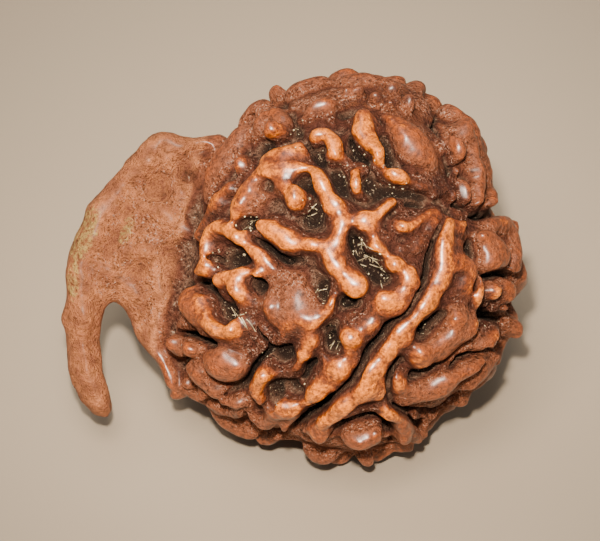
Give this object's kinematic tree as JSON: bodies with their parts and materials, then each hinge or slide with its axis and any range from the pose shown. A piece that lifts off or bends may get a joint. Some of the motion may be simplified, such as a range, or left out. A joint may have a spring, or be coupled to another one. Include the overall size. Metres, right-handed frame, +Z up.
{
  "type": "ganesh rudraksha",
  "caption": "Dried rudraksha stone with meandering ridges between deep clefts and a thin fin that ends in a hanging trunk.",
  "frame": {"origin": "middle of the bounding box, at the height of the flat spot that the stone rests on", "axes": "+Z up, +X from the trunk's side to the other side, -Y the side that the ridged face looks to while it leans back"},
  "size_m": [0.028, 0.0226, 0.023],
  "materials": {
    "stone": "dry woody shell, worn glossy on the ridges"
  },
  "bodies": {
    "root": {"rudraksha_bead": "stone"}
  },
  "joints": []
}
